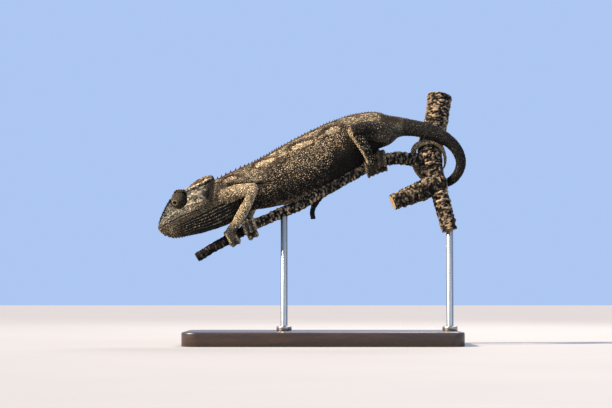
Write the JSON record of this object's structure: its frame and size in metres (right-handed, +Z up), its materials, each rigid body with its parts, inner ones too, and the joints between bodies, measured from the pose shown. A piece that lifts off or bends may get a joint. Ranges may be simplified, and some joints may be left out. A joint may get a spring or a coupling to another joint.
{
  "type": "chameleon display model",
  "caption": "Life-size still model of a large grey-brown chameleon gripping a cut forked branch with its tail wound round the stem, on a flat display stand.",
  "frame": {"origin": "middle of the stand base's underside, under the animal", "axes": "+X from the animal's head towards its tail, +Y towards the animal's right side, +Z up"},
  "size_m": [0.2653, 0.112, 0.2198],
  "materials": {
    "crown": "dry scaly hide, pale grey brown",
    "throat": "dry scaly hide, near black brown",
    "flank": "dry scaly hide, mottled brown",
    "arm": "dry scaly hide, beige",
    "leg": "dry scaly hide, dark brown",
    "tail": "dry scaly hide, dark grey brown",
    "lid": "fine scaly lid, grey olive",
    "eyeball": "wet black eye",
    "claw": "horn, brown",
    "bark": "rough dry bark",
    "board": "dark stained board, satin",
    "steel": "brushed"
  },
  "bodies": {
    "root": {"head": "crown", "lower_jaw": "throat", "neck": "flank", "trunk": "flank", "tail_base": "tail", "tail_arch": "tail", "tail_bend": "tail", "tail_turn": "tail", "tail_coil": "tail", "eye_left": "lid", "eye_right": "lid", "pupil_left": "eyeball", "pupil_right": "eyeball", "upper_arm_left": "arm", "forearm_left": "arm", "hand_left": "arm", "upper_arm_right": "arm", "forearm_right": "arm", "hand_right": "arm", "thigh_left": "leg", "shank_left": "leg", "foot_left": "leg", "thigh_right": "leg", "shank_right": "leg", "foot_right": "leg", "claw_hand_left_outer_1": "claw", "claw_hand_left_outer_2": "claw", "claw_hand_left_inner_1": "claw", "claw_hand_left_inner_2": "claw", "claw_hand_left_inner_3": "claw", "claw_hand_right_outer_1": "claw", "claw_hand_right_outer_2": "claw", "claw_hand_right_inner_1": "claw", "claw_hand_right_inner_2": "claw", "claw_hand_right_inner_3": "claw", "claw_foot_left_outer_1": "claw", "claw_foot_left_outer_2": "claw", "claw_foot_left_outer_3": "claw", "claw_foot_left_inner_1": "claw", "claw_foot_left_inner_2": "claw", "claw_foot_right_outer_1": "claw", "claw_foot_right_outer_2": "claw", "claw_foot_right_outer_3": "claw", "claw_foot_right_inner_1": "claw", "claw_foot_right_inner_2": "claw", "perch": "bark", "stand_base": "board", "stand_rod_front": "steel", "stand_rod_rear": "steel"}
  },
  "joints": []
}
